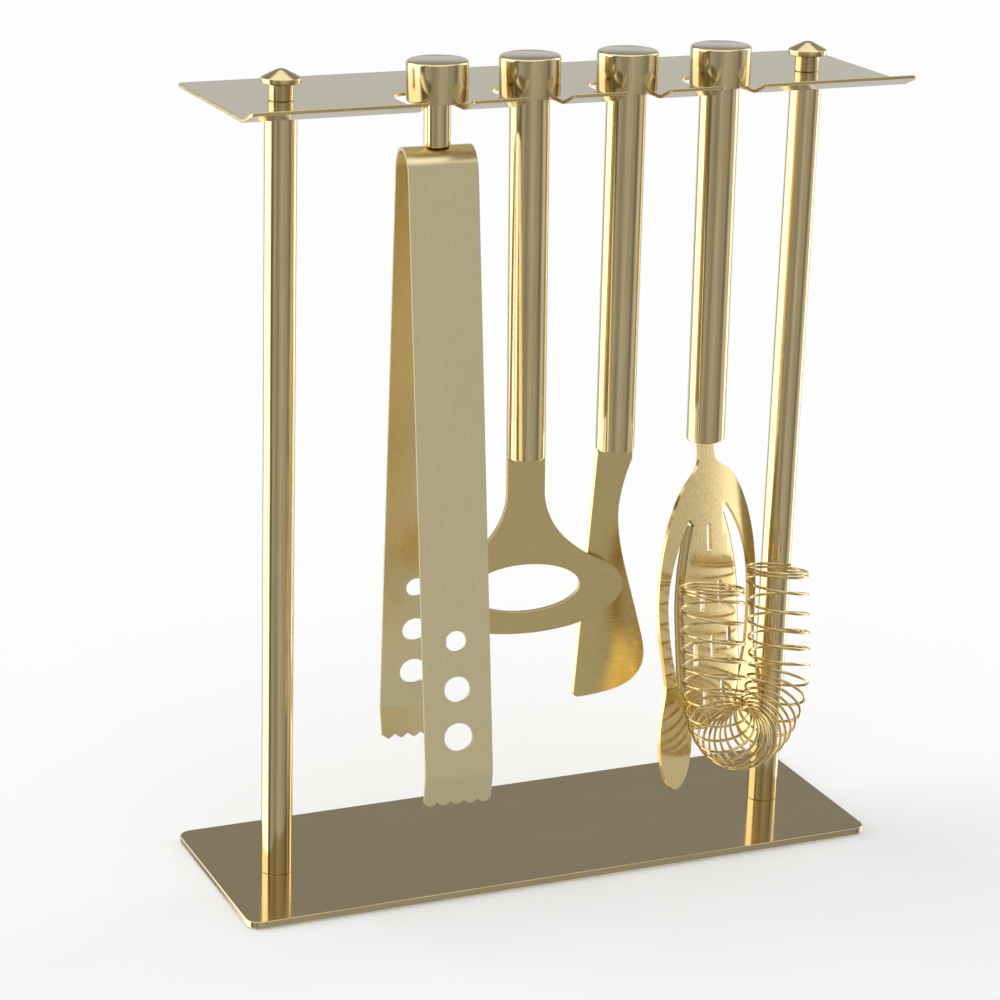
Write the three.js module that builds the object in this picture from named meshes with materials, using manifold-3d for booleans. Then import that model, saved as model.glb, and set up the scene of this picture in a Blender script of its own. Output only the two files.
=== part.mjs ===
// Bar tool set hanging on a two-post stand: ice tongs, bottle opener, bar knife and coil strainer.
// Units are millimetres, +Z is up, +X runs along the stand and -Y is the side the tools hang on.
// The origin is the middle of the base plate's underside.

import * as THREE from 'three';
import { mergeVertices } from 'three/addons/utils/BufferGeometryUtils.js';
import Module from 'manifold-3d';

const wasm = await Module();
wasm.setup();

// ---------------------------------------------------------------- driving dimensions

const GAP = 0.3;                    // clearance where two pieces meet
const ROUND = 40;                   // sides of a large turned piece
const SMALL_ROUND = 20;             // sides of a bore or a small pin

const BASE_LENGTH = 240;
const BASE_DEPTH = 80.8;
const BASE_THICKNESS = 2.6;
const BASE_CORNER = 5;

const POST_X = 96.7;
const POST_Y = -1.8;
const POST_RADIUS = 5.46;
const SCREW_RADIUS = 2.5;
const BORE_RADIUS = SCREW_RADIUS + GAP;
const SINK_RADIUS = 4.9;            // countersink under the base plate, at its mouth
const SINK_DEPTH = 2.1;
const THROUGH = 50;                 // reach of a cut that goes right through a sheet

const PLATE_TOP = 276;
const PLATE_THICKNESS = 1.8;
const PLATE_LENGTH = 239;
const PLATE_BACK = 37.2;
const PLATE_BEND = -29.5;
const PLATE_CORNER = 2.5;
const LIP_LENGTH = 9.4;
const LIP_ANGLE = THREE.MathUtils.degToRad(23);

const SLOT_PITCH = 35.2;
const SLOT_SHIFT = 0.8;
const SLOT_WIDTH = 15.6;
const SLOT_BACK = -1;
const SLOT_COUNT = 4;

const KNOB_RADIUS = 10.25;
const KNOB_HEIGHT = 13.2;
const KNOB_EDGE = 0.7;
const SHAFT_RADIUS = 6.7;
const SHAFT_BORE = 5.1;
const SHAFT_END = -125;
const SPIGOT_LENGTH = 10;           // how far a knob reaches down into its shaft
const PLUG_RADIUS = SHAFT_BORE - GAP;
const PLUG_LENGTH = 14;
const TANG_WIDTH = 7;
const TANG_LENGTH = 10;

const STEM_RADIUS = 4.45;
const BOW_TOP = -15;
const BOW_RADIUS = 8.6;
const STRIP_THICKNESS = 1.2;
const STRIP_WIDTH = 23.5;
const ARM_SPLAY = THREE.MathUtils.degToRad(6.9);
const ARM_BEND = -224.5;
const TIP_DROP = 11.5;
const TIP_INWARD = 3;
const TOOTH_PITCH = STRIP_WIDTH / 5;
const TOOTH_DEPTH = 1.6;
const DRAIN_FIRST = -177.9;
const DRAIN_PITCH = -16.6;
const DRAIN_RADII = [3.6, 4.5, 4.95];

const OPENER_THICKNESS = 2;
const KNIFE_THICKNESS = 1.6;

const STRAINER_THICKNESS = 1.4;
const STRAINER_OFFSET = 0;          // the strainer plate lies on its shaft's axis
const STRAINER_TILT = -4.5;         // degrees that the plate bends forward below its neck
const TILT_HEIGHT = -128;
const DISH_HALF = 20.5;
const DISH_DEPTH = 2.9;             // how far the dish's edges are turned back
const DISH_WALL = 1.2;
const SPRING_COIL = 11;             // radius of one turn, at the wire's middle
const SPRING_WIRE = 0.5;
const SPRING_LEG = 22.6;            // the legs' distance from the strainer's centre line
const SPRING_LEFT_TOP = -170.5;
const SPRING_RIGHT_TOP = -176.5;
const SPRING_BEND = -210.5;
const SPRING_DEPTH = -14.7;
const SPRING_SLANT = THREE.MathUtils.degToRad(11);  // the turns lie lower on their right

// Where each tool hangs: its slot, its sideways play in it, its lean and its turn about itself.
const HANG_Y = -19;
const TOOLS = {
  tongs: { slot: 0, play: 3, lean: 1.15, turn: -8 },
  opener: { slot: 1, play: 0.7, lean: 1.36, turn: -9 },
  knife: { slot: 2, play: 0.8, lean: 0.6, turn: 0 },
  strainer: { slot: 3, play: 0.35, lean: 0.8, turn: 32 },
};

// ---------------------------------------------------------------- materials

const finish = (color, roughness) => new THREE.MeshStandardMaterial({ color, roughness, metalness: 1 });
const satin = finish(0xb9a57a, 0.38);
const polished = finish(0xd3bb78, 0.16);
const bright = finish(0xd8bd72, 0.22);
const steel = finish(0xa8a8a6, 0.35);

// ---------------------------------------------------------------- solids

// A closed solid for cutting and joining, from any closed three.js geometry.
function toSolid(geometry) {
  const bare = geometry.index ? geometry.toNonIndexed() : geometry.clone();
  bare.deleteAttribute('normal');
  bare.deleteAttribute('uv');
  const merged = mergeVertices(bare, 1e-4);
  const corners = merged.index.array;
  const kept = [];
  for (let i = 0; i < corners.length; i += 3) {
    const [a, b, c] = [corners[i], corners[i + 1], corners[i + 2]];
    if (a !== b && b !== c && c !== a) kept.push(a, b, c);
  }
  const solid = new wasm.Manifold(new wasm.Mesh({
    numProp: 3,
    vertProperties: new Float32Array(merged.attributes.position.array),
    triVerts: new Uint32Array(kept),
  }));
  return solid;
}

function toGeometry(solid) {
  const mesh = solid.getMesh();
  const geometry = new THREE.BufferGeometry();
  geometry.setAttribute('position', new THREE.BufferAttribute(mesh.vertProperties, 3));
  geometry.setIndex(new THREE.BufferAttribute(mesh.triVerts, 1));
  return geometry;
}

function piece(name, solid, material) {
  const mesh = new THREE.Mesh(toGeometry(solid), material);
  mesh.name = name;
  return mesh;
}

// A turned solid about +Z. The profile is [radius, height] pairs that start and end on the axis.
function turned(profile, sides = ROUND) {
  const points = profile.map(([radius, height]) => new THREE.Vector2(radius, height));
  return toSolid(new THREE.LatheGeometry(points, sides).rotateX(Math.PI / 2));
}

function cylinder(radius, bottom, top, sides = ROUND) {
  return turned([[0, bottom], [radius, bottom], [radius, top], [0, top]], sides);
}

function extruded(shape, depth, curveSegments = 8) {
  return new THREE.ExtrudeGeometry(shape, { depth, bevelEnabled: false, curveSegments });
}

// A slab drawn in plan (x, y), from one height to another.
function flat(shape, bottom, top) {
  return toSolid(extruded(shape, top - bottom).translate(0, 0, bottom));
}

// A slab drawn upright (x, z), from its front face to its back face along Y.
function upright(shape, front, back, curveSegments = 10) {
  return toSolid(extruded(shape, back - front, curveSegments).rotateX(Math.PI / 2).translate(0, back, 0));
}

// A bar with a constant (y, z) section, centred on x = 0.
function alongX(shape, length) {
  const basis = new THREE.Matrix4().makeBasis(
    new THREE.Vector3(0, 1, 0),
    new THREE.Vector3(0, 0, 1),
    new THREE.Vector3(1, 0, 0),
  );
  return toSolid(extruded(shape, length).translate(0, 0, -length / 2).applyMatrix4(basis));
}

function polygon(points) {
  return new THREE.Shape(points.map(([x, y]) => new THREE.Vector2(x, y)));
}

function roundedRectangle(left, right, low, high, radius) {
  const shape = new THREE.Shape();
  shape.moveTo(left + radius, low);
  shape.absarc(right - radius, low + radius, radius, -Math.PI / 2, 0);
  shape.absarc(right - radius, high - radius, radius, 0, Math.PI / 2);
  shape.absarc(left + radius, high - radius, radius, Math.PI / 2, Math.PI);
  shape.absarc(left + radius, low + radius, radius, Math.PI, Math.PI * 1.5);
  return shape;
}

function slotShape(x, centre, length, width) {
  const radius = width / 2;
  const low = centre - length / 2 + radius;
  const high = centre + length / 2 - radius;
  const shape = new THREE.Shape();
  shape.moveTo(x - radius, low);
  shape.absarc(x, low, radius, Math.PI, Math.PI * 2);
  shape.absarc(x, high, radius, 0, Math.PI);
  return shape;
}

// The same half outline on both sides of x = 0. Each entry is a point, or a curve with two control points.
function mirroredOutline(start, curves) {
  const shape = new THREE.Shape();
  shape.moveTo(start[0], start[1]);
  for (const c of curves) {
    if (c.length === 2) shape.lineTo(c[0], c[1]);
    else shape.bezierCurveTo(c[0], c[1], c[2], c[3], c[4], c[5]);
  }
  const ends = [start, ...curves.map((c) => c.slice(-2))];
  shape.lineTo(-ends[ends.length - 1][0], ends[ends.length - 1][1]);
  for (let i = curves.length - 1; i >= 0; i -= 1) {
    const c = curves[i];
    const [x, z] = ends[i];
    if (c.length === 2) shape.lineTo(-x, z);
    else shape.bezierCurveTo(-c[2], c[3], -c[0], c[1], -x, z);
  }
  return shape;
}

// ---------------------------------------------------------------- stand

function slotX(slot) {
  return SLOT_SHIFT + (slot - (SLOT_COUNT - 1) / 2) * SLOT_PITCH;
}

function basePlate() {
  const halfLength = BASE_LENGTH / 2;
  const halfDepth = BASE_DEPTH / 2;
  const outline = roundedRectangle(-halfLength, halfLength, -halfDepth, halfDepth, BASE_CORNER);
  let plate = flat(outline, 0, BASE_THICKNESS);
  for (const side of [-1, 1]) {
    const above = BASE_THICKNESS + 1;
    const hole = turned([
      [0, -1], [SINK_RADIUS + 1, -1], [SINK_RADIUS, 0],
      [BORE_RADIUS, SINK_DEPTH], [BORE_RADIUS, above], [0, above],
    ], SMALL_ROUND);
    plate = plate.subtract(hole.translate([side * POST_X, POST_Y, 0]));
  }
  return piece('base_plate', plate, satin);
}

// Countersunk socket screw: its head sits just inside the underside of the base plate.
function baseScrew(name, side) {
  const headTop = SINK_DEPTH + 0.1;
  const [tip, point] = [17, 0.6];
  const body = turned([
    [0, GAP], [SINK_RADIUS - 2 * GAP, GAP], [SCREW_RADIUS, headTop],
    [SCREW_RADIUS, tip - point], [SCREW_RADIUS - point, tip], [0, tip],
  ], SMALL_ROUND);
  const [keyRadius, keyDepth, keySides] = [1.7, 1.6, 6];
  const socket = cylinder(keyRadius, -1, keyDepth, keySides);
  return piece(name, body.subtract(socket).translate([side * POST_X, POST_Y, 0]), steel);
}

function post(name, side) {
  const foot = BASE_THICKNESS + GAP;
  const head = PLATE_TOP - PLATE_THICKNESS - GAP;
  const rod = cylinder(POST_RADIUS, foot, head);
  const [footDepth, headDepth] = [18, 16];
  const footBore = cylinder(BORE_RADIUS, foot - 1, foot + footDepth, SMALL_ROUND);
  const headBore = cylinder(BORE_RADIUS, head - headDepth, head + 1, SMALL_ROUND);
  return piece(name, rod.subtract(footBore).subtract(headBore).translate([side * POST_X, POST_Y, 0]), polished);
}

// Flat shelf with its front edge bent up, so that hanging knobs can't slide off.
function topPlate() {
  const [cos, sin] = [Math.cos(LIP_ANGLE), Math.sin(LIP_ANGLE)];
  const under = PLATE_TOP - PLATE_THICKNESS;
  const tipY = PLATE_BEND - LIP_LENGTH * cos;
  const tipZ = PLATE_TOP + LIP_LENGTH * sin;
  const underBend = PLATE_BEND + PLATE_THICKNESS * Math.tan(LIP_ANGLE / 2);
  const section = polygon([
    [PLATE_BACK, under], [PLATE_BACK, PLATE_TOP], [PLATE_BEND, PLATE_TOP],
    [tipY, tipZ], [tipY - PLATE_THICKNESS * sin, tipZ - PLATE_THICKNESS * cos], [underBend, under],
  ]);
  let plate = alongX(section, PLATE_LENGTH);
  const front = tipY - PLATE_THICKNESS * sin;
  const half = PLATE_LENGTH / 2;
  const [below, above] = [PLATE_TOP - THROUGH, PLATE_TOP + THROUGH];
  plate = plate.intersect(flat(roundedRectangle(-half, half, front, PLATE_BACK, PLATE_CORNER), below, above));
  for (let slot = 0; slot < SLOT_COUNT; slot += 1) {
    const mouth = front - 20;
    const cut = slotShape(slotX(slot), (mouth + SLOT_BACK) / 2, SLOT_BACK - mouth, SLOT_WIDTH);
    plate = plate.subtract(flat(cut, below, above));
  }
  for (const side of [-1, 1]) {
    const hole = cylinder(BORE_RADIUS, below, above, SMALL_ROUND);
    plate = plate.subtract(hole.translate([side * POST_X, POST_Y, 0]));
  }
  return piece('top_plate', plate, satin);
}

// Cap nut: a coned cap on a narrower neck, with a blind bore for the stud.
function finial(name, side) {
  const neck = 4.2;
  const cap = 6.65;
  const foot = PLATE_TOP + GAP;
  const body = turned([
    [0, foot], [neck, foot], [neck, foot + 5.4], [cap - 0.3, foot + 5.4], [cap, foot + 5.7],
    [cap, foot + 7.2], [cap - 0.3, foot + 7.5], [1.6, foot + 9.75], [0.8, foot + 10], [0, foot + 10.05],
  ]);
  const bore = cylinder(BORE_RADIUS, foot - 1, foot + 6, SMALL_ROUND);
  return piece(name, body.subtract(bore).translate([side * POST_X, POST_Y, 0]), polished);
}

function finialStud(name, side) {
  const foot = PLATE_TOP - PLATE_THICKNESS - 14;
  const head = PLATE_TOP + GAP + 5.5;
  const body = turned([
    [0, foot], [SCREW_RADIUS - 0.5, foot], [SCREW_RADIUS, foot + 0.5], [SCREW_RADIUS, head - 0.5],
    [SCREW_RADIUS - 0.5, head], [0, head],
  ], SMALL_ROUND);
  return piece(name, body.translate([side * POST_X, POST_Y, 0]), steel);
}

// ---------------------------------------------------------------- handles

// Knob with a spigot below it that goes into a tube, or a bore that takes a stem.
function knob(name, spigotRadius) {
  const crown = [
    [KNOB_RADIUS, KNOB_HEIGHT - KNOB_EDGE], [KNOB_RADIUS - KNOB_EDGE, KNOB_HEIGHT], [0, KNOB_HEIGHT],
  ];
  const skirt = [[KNOB_RADIUS - 0.4, 0], [KNOB_RADIUS, 0.4]];
  if (spigotRadius > 0) {
    const spigot = [[0, -SPIGOT_LENGTH], [spigotRadius, -SPIGOT_LENGTH], [spigotRadius, 0]];
    return piece(name, turned([...spigot, ...skirt, ...crown]), polished);
  }
  const bore = cylinder(SCREW_RADIUS + GAP, -1, 8, SMALL_ROUND);
  return piece(name, turned([[0, 0], ...skirt, ...crown]).subtract(bore), polished);
}

// Handle tube, open at both ends.
function shaft(name) {
  const tube = turned([
    [0, SHAFT_END], [SHAFT_RADIUS - 0.5, SHAFT_END], [SHAFT_RADIUS, SHAFT_END + 0.5],
    [SHAFT_RADIUS, -GAP], [0, -GAP],
  ]);
  return piece(name, tube.subtract(cylinder(SHAFT_BORE, SHAFT_END - 1, 1)), polished);
}

// Plug in the lower end of a handle tube, slotted for the blade's tang.
function shaftPlug(name, thickness, offset) {
  const plug = cylinder(PLUG_RADIUS, SHAFT_END, SHAFT_END + PLUG_LENGTH);
  const half = TANG_WIDTH / 2 + GAP;
  const [foot, head] = [SHAFT_END - 1, SHAFT_END + TANG_LENGTH + 1];
  const slot = upright(
    polygon([[-half, foot], [half, foot], [half, head], [-half, head]]),
    offset - thickness / 2 - GAP,
    offset + thickness / 2 + GAP,
  );
  return piece(name, plug.subtract(slot), steel);
}

function tang(thickness, offset) {
  const half = TANG_WIDTH / 2;
  const [foot, head] = [SHAFT_END - 2, SHAFT_END + TANG_LENGTH];
  const outline = polygon([[-half, foot], [half, foot], [half, head], [-half, head]]);
  return upright(outline, offset - thickness / 2, offset + thickness / 2);
}

// ---------------------------------------------------------------- tongs

function tongsStem() {
  const body = turned([
    [0, BOW_TOP + GAP], [STEM_RADIUS, BOW_TOP + GAP], [STEM_RADIUS, -GAP],
    [SCREW_RADIUS, -GAP], [SCREW_RADIUS, 7], [0, 7],
  ]);
  const bore = cylinder(1.8, BOW_TOP - 1, BOW_TOP + 8, SMALL_ROUND);
  return piece('tongs_stem', body.subtract(bore), polished);
}

// Rivet that holds the bow on the stem: its head is inside the bow.
function tongsRivet() {
  const seat = BOW_TOP - STRIP_THICKNESS - 2 * GAP;
  const body = turned([
    [0, seat - 1.6], [1.5, seat - 1.5], [2.4, seat - 0.6], [2.4, seat], [1.5, seat],
    [1.5, BOW_TOP + 7], [0, BOW_TOP + 7],
  ], SMALL_ROUND);
  return piece('tongs_rivet', body, steel);
}

const bowCentre = BOW_TOP - STRIP_THICKNESS / 2 - BOW_RADIUS;
const armTopY = BOW_RADIUS * Math.cos(ARM_SPLAY);
const armTopZ = bowCentre + BOW_RADIUS * Math.sin(ARM_SPLAY);

function tongsBow() {
  const start = ARM_SPLAY;
  const end = Math.PI - ARM_SPLAY;
  const section = new THREE.Shape();
  section.absarc(0, bowCentre, BOW_RADIUS + STRIP_THICKNESS / 2, start, end, false);
  section.absarc(0, bowCentre, BOW_RADIUS - STRIP_THICKNESS / 2, end, start, true);
  const bow = alongX(section, STRIP_WIDTH);
  return piece('tongs_bow', bow.subtract(cylinder(1.8, BOW_TOP - 4, BOW_TOP + 1, SMALL_ROUND)), satin);
}

// One leg of the tongs: side is -1 for the one in front and 1 for the one behind.
function tongsArm(name, side) {
  const half = STRIP_THICKNESS / 2;
  const down = new THREE.Vector2(Math.sin(ARM_SPLAY), -Math.cos(ARM_SPLAY));
  const out = new THREE.Vector2(Math.cos(ARM_SPLAY), Math.sin(ARM_SPLAY));
  const top = new THREE.Vector2(armTopY, armTopZ).addScaledVector(down, GAP);
  const bend = new THREE.Vector2(armTopY + (armTopZ - ARM_BEND) * Math.tan(ARM_SPLAY), ARM_BEND);
  const tip = new THREE.Vector2(bend.x - TIP_INWARD, bend.y - TIP_DROP);
  const tipDown = tip.clone().sub(bend).normalize();
  const tipOut = new THREE.Vector2(-tipDown.y, tipDown.x);
  const mitre = out.clone().add(tipOut).normalize();
  const mitreHalf = half / mitre.dot(out);
  const line = [
    top.clone().addScaledVector(out, half), bend.clone().addScaledVector(mitre, mitreHalf),
    tip.clone().addScaledVector(tipOut, half), tip.clone().addScaledVector(tipOut, -half),
    bend.clone().addScaledVector(mitre, -mitreHalf), top.clone().addScaledVector(out, -half),
  ];
  let arm = alongX(polygon(line.map((p) => [side * p.x, p.y])), STRIP_WIDTH);
  DRAIN_RADII.forEach((radius, i) => {
    const z = DRAIN_FIRST + i * DRAIN_PITCH;
    const y = armTopY + (armTopZ - z) * Math.tan(ARM_SPLAY);
    const drill = new THREE.CylinderGeometry(radius, radius, 6, SMALL_ROUND).translate(0, side * y, 0);
    arm = arm.subtract(toSolid(drill).translate([0, 0, z]));
  });
  return piece(name, arm.subtract(teeth()), satin);
}

// The saw-toothed waste below the tips of the legs.
function teeth() {
  const low = ARM_BEND - TIP_DROP - 3;
  const root = ARM_BEND - TIP_DROP + TOOTH_DEPTH;
  const point = ARM_BEND - TIP_DROP - 0.2;
  const left = -STRIP_WIDTH / 2 - TOOTH_PITCH / 2;
  const edge = [[left, low]];
  for (let x = left; x < STRIP_WIDTH / 2 + TOOTH_PITCH; x += TOOTH_PITCH) {
    edge.push([x, root], [x + TOOTH_PITCH / 2, point]);
  }
  edge.push([edge[edge.length - 1][0], low]);
  return upright(polygon(edge), -60, 60);
}

// ---------------------------------------------------------------- opener, knife

function openerBlade() {
  const neck = SHAFT_RADIUS;
  const top = SHAFT_END - GAP;
  const outline = mirroredOutline([neck, top], [
    [neck, -137],
    [neck, -148, 14, -158, 27.5, -164.2],
    [32.5, -166.6, 35.3, -170, 35.3, -174],
    [35.3, -182.5, 20, -189.2, 0, -189.2],
  ]);
  const hole = new THREE.Path();
  hole.absellipse(0, -172.4, 19.6, 8.7, 0, Math.PI * 2);
  outline.holes.push(hole);
  const half = OPENER_THICKNESS / 2;
  return piece('opener_blade', upright(outline, -half, half, 16).add(tang(OPENER_THICKNESS, 0)), satin);
}

function knifeBlade() {
  const top = SHAFT_END - GAP;
  const outline = new THREE.Shape();
  outline.moveTo(6.5, top);
  outline.lineTo(6.5, -129);
  outline.bezierCurveTo(4, -135, 1.6, -143, 1.9, -150);
  outline.bezierCurveTo(2.2, -158, 4.6, -167, 6.9, -174.5);
  outline.lineTo(11.9, -191.6);
  outline.bezierCurveTo(14.6, -201, 16.2, -206.5, 9.8, -211.6);
  outline.bezierCurveTo(6, -214.3, -3, -215.4, -11.2, -215.6);
  outline.bezierCurveTo(-12.6, -215.6, -13.2, -214.8, -13.1, -213.4);
  outline.lineTo(-6.7, top);
  const half = KNIFE_THICKNESS / 2;
  return piece('knife_blade', upright(outline, -half, half).add(tang(KNIFE_THICKNESS, 0)), satin);
}

// ---------------------------------------------------------------- strainer

// Outer frame of the strainer: a neck, two arms and an ear at the end of each.
function strainerFrame() {
  return mirroredOutline([4.8, SHAFT_END - GAP], [
    [4.8, -130],
    [5.2, -136, 12, -136, 17.5, -141],
    [27, -150.5, 33.4, -165, 33.4, -181],
    [33.4, -192, 30.6, -200, 30.6, -208],
    [30.8, -213, 35, -218, 35.5, -228],
    [35.8, -239, 31, -247, 26, -247],
    [20, -247, 15.8, -238, 15.8, -228],
    [15.8, -220, 20, -216, 23.2, -209],
    [25.5, -203, 27.8, -192, 27.8, -181],
    [27.8, -170, 20, -158, 12.5, -151],
  ]);
}

// Inner dish: an arch-topped panel with a round lower end, inset by the given amount. Its edges turn back.
function dishOutline(inset) {
  const half = DISH_HALF - inset;
  return mirroredOutline([0.5, -140 - inset], [
    [6, -145, half, -166, half, -186],
    [half, -212],
    [half, -224, half * 0.6, -232 + inset, 0.5, -232 + inset],
  ]);
}

const STRAINER_SLOTS = [
  { z: -161, length: 11, xs: [0] },
  { z: -182.5, length: 9.5, xs: [-6, 6] },
  { z: -201.5, length: 9.5, xs: [-11.5, 0, 11.5] },
  { z: -219.5, length: 8.5, xs: [-6, 6] },
];
const STRAINER_SLOT_WIDTH = 3.2;

// Bends what is drawn straight below the neck forward, as the real neck is bent.
function bentForward(solid) {
  return solid.translate([0, 0, -TILT_HEIGHT]).rotate([STRAINER_TILT, 0, 0]).translate([0, 0, TILT_HEIGHT]);
}

function strainerPlate() {
  const half = STRAINER_THICKNESS / 2;
  const [front, back] = [STRAINER_OFFSET - half, STRAINER_OFFSET + half];
  const edge = front + DISH_DEPTH;
  let dish = upright(dishOutline(0), front, edge);
  dish = dish.subtract(upright(dishOutline(DISH_WALL), front + DISH_WALL, edge + 1));
  let plate = upright(strainerFrame(), front, back).add(dish);
  for (const row of STRAINER_SLOTS) {
    for (const x of row.xs) {
      const hole = slotShape(x, row.z, row.length, STRAINER_SLOT_WIDTH);
      plate = plate.subtract(upright(hole, -THROUGH, THROUGH, 4));
    }
  }
  return piece('strainer_plate', bentForward(plate).add(tang(STRAINER_THICKNESS, STRAINER_OFFSET)), bright);
}

const SPRING_LEFT_LENGTH = SPRING_LEFT_TOP - SPRING_BEND;
const SPRING_ARC_LENGTH = Math.PI * SPRING_LEG;
const SPRING_LENGTH = SPRING_LEFT_LENGTH + SPRING_ARC_LENGTH + SPRING_RIGHT_TOP - SPRING_BEND;
const CLOSED_TURNS = 2;             // turns wound close together at each end
const OPEN_TURNS = 27;
const CLOSED_PITCH = 1.3;
const CROWDING = 0.44;              // how much closer the turns lie round the bend than near the ends

// Middle line of the spring's turns: down one leg, round the lower end and up the other leg.
function springSpine(distance) {
  const past = distance - SPRING_LEFT_LENGTH;
  if (past <= 0) return { x: -SPRING_LEG, z: SPRING_LEFT_TOP - distance, angle: 0 };
  if (past <= SPRING_ARC_LENGTH) {
    const angle = past / SPRING_LEG;
    return { x: -SPRING_LEG * Math.cos(angle), z: SPRING_BEND - SPRING_LEG * Math.sin(angle), angle };
  }
  return { x: SPRING_LEG, z: SPRING_BEND + past - SPRING_ARC_LENGTH, angle: Math.PI };
}

// How far along the spine the wire is after a number of turns.
function springDistance(turn) {
  const closed = CLOSED_TURNS * CLOSED_PITCH;
  if (turn < CLOSED_TURNS) return turn * CLOSED_PITCH;
  const beyond = turn - CLOSED_TURNS - OPEN_TURNS;
  if (beyond > 0) return SPRING_LENGTH - closed + beyond * CLOSED_PITCH;
  const u = 1 + 2 * beyond / OPEN_TURNS;
  const share = (1 + (u + CROWDING * u ** 3) / (1 + CROWDING)) / 2;
  return closed + (SPRING_LENGTH - 2 * closed) * share;
}

class SpringWire extends THREE.Curve {
  getPoint(t, target = new THREE.Vector3()) {
    const turn = t * (2 * CLOSED_TURNS + OPEN_TURNS);
    const spine = springSpine(springDistance(turn));
    const phase = turn * Math.PI * 2;
    const sideways = SPRING_COIL * Math.cos(phase);
    const slanted = spine.angle - SPRING_SLANT;
    return target.set(
      spine.x - sideways * Math.cos(slanted),
      SPRING_DEPTH - SPRING_COIL * Math.sin(phase),
      spine.z - sideways * Math.sin(slanted),
    );
  }
}

function strainerSpring() {
  const section = new THREE.Shape();
  section.absarc(0, 0, SPRING_WIRE, 0, Math.PI * 2);
  const steps = (2 * CLOSED_TURNS + OPEN_TURNS) * 10;
  const wire = new THREE.ExtrudeGeometry(section, { steps, extrudePath: new SpringWire(), curveSegments: 3 });
  return piece('strainer_spring', bentForward(toSolid(wire)), bright);
}

// ---------------------------------------------------------------- assembly

function hang(tool, pieces) {
  const { slot, play, lean, turn } = TOOLS[tool];
  const leanAngle = THREE.MathUtils.degToRad(lean);
  const group = new THREE.Group();
  group.position.set(slotX(slot) + play, HANG_Y, PLATE_TOP + GAP + KNOB_RADIUS * Math.sin(leanAngle));
  group.rotation.set(0, -leanAngle, THREE.MathUtils.degToRad(turn));
  group.add(...pieces);
  return group;
}

const stand = new THREE.Group();
stand.add(
  basePlate(),
  baseScrew('base_screw_left', -1),
  baseScrew('base_screw_right', 1),
  post('upright_left', -1),
  post('upright_right', 1),
  topPlate(),
  finialStud('finial_stud_left', -1),
  finialStud('finial_stud_right', 1),
  finial('finial_left', -1),
  finial('finial_right', 1),
);

const tongs = hang('tongs', [
  knob('tongs_knob', 0),
  tongsStem(),
  tongsRivet(),
  tongsBow(),
  tongsArm('tongs_arm_front', -1),
  tongsArm('tongs_arm_back', 1),
]);

const opener = hang('opener', [
  knob('opener_knob', PLUG_RADIUS),
  shaft('opener_shaft'),
  shaftPlug('opener_plug', OPENER_THICKNESS, 0),
  openerBlade(),
]);

const knife = hang('knife', [
  knob('knife_knob', PLUG_RADIUS),
  shaft('knife_shaft'),
  shaftPlug('knife_plug', KNIFE_THICKNESS, 0),
  knifeBlade(),
]);

const strainer = hang('strainer', [
  knob('strainer_knob', PLUG_RADIUS),
  shaft('strainer_shaft'),
  shaftPlug('strainer_plug', STRAINER_THICKNESS, STRAINER_OFFSET),
  strainerPlate(),
  strainerSpring(),
]);

const barToolSet = new THREE.Group();
barToolSet.add(stand, tongs, opener, knife, strainer);

export default barToolSet;
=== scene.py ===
# Looks for a bar tool set: ice tongs, bottle opener, bar knife and coil strainer on a two-post stand.
# Lengths in the named values are millimetres and are turned into metres where meshes are made.
import math

import bmesh
import bpy
from mathutils import Matrix, Vector


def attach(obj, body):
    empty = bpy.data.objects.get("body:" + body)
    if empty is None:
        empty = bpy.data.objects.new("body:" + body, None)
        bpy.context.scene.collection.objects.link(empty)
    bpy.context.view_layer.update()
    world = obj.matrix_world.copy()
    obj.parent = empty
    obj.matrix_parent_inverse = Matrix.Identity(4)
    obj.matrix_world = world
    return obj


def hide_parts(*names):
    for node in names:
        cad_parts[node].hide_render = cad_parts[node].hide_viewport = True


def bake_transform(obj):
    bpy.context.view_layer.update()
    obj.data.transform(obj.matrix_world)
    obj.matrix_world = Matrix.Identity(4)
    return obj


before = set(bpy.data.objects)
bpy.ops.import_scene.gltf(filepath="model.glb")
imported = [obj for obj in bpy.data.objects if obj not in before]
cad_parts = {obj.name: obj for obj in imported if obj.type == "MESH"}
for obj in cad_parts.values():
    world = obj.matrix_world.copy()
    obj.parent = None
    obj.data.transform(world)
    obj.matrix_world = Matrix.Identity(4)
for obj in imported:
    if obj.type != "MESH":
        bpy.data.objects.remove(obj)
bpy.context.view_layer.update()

MM = 0.001

# ---------------------------------------------------------------- driving dimensions

GAP = 0.3
POST_X = 96.7
POST_Y = -1.8
POST_RADIUS = 5.46
BASE_LENGTH = 240
BASE_DEPTH = 80.8
BASE_THICKNESS = 2.6
BASE_CORNER = 5
BASE_BORE = 5.9

PLATE_TOP = 276
PLATE_THICKNESS = 1.2
PLATE_LENGTH = 239
PLATE_BACK = 37.2
PLATE_BEND = -29.5
PLATE_CORNER = 2.5
LIP_LENGTH = 9.4
LIP_ANGLE = math.radians(23)
LIP_CURVE = 3.0                     # length of plate that the bend is spread over
SLOT_PITCH = 35.2
SLOT_SHIFT = 0.8
SLOT_WIDTH = 15.6
SLOT_BACK = -1
SLOT_COUNT = 4

KNOB_RADIUS = 10.25
KNOB_HEIGHT = 13.2
SHAFT_RADIUS = 6.7
SHAFT_BORE = 5.1
SHAFT_END = -125
STEM_RADIUS = 4.45

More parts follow.
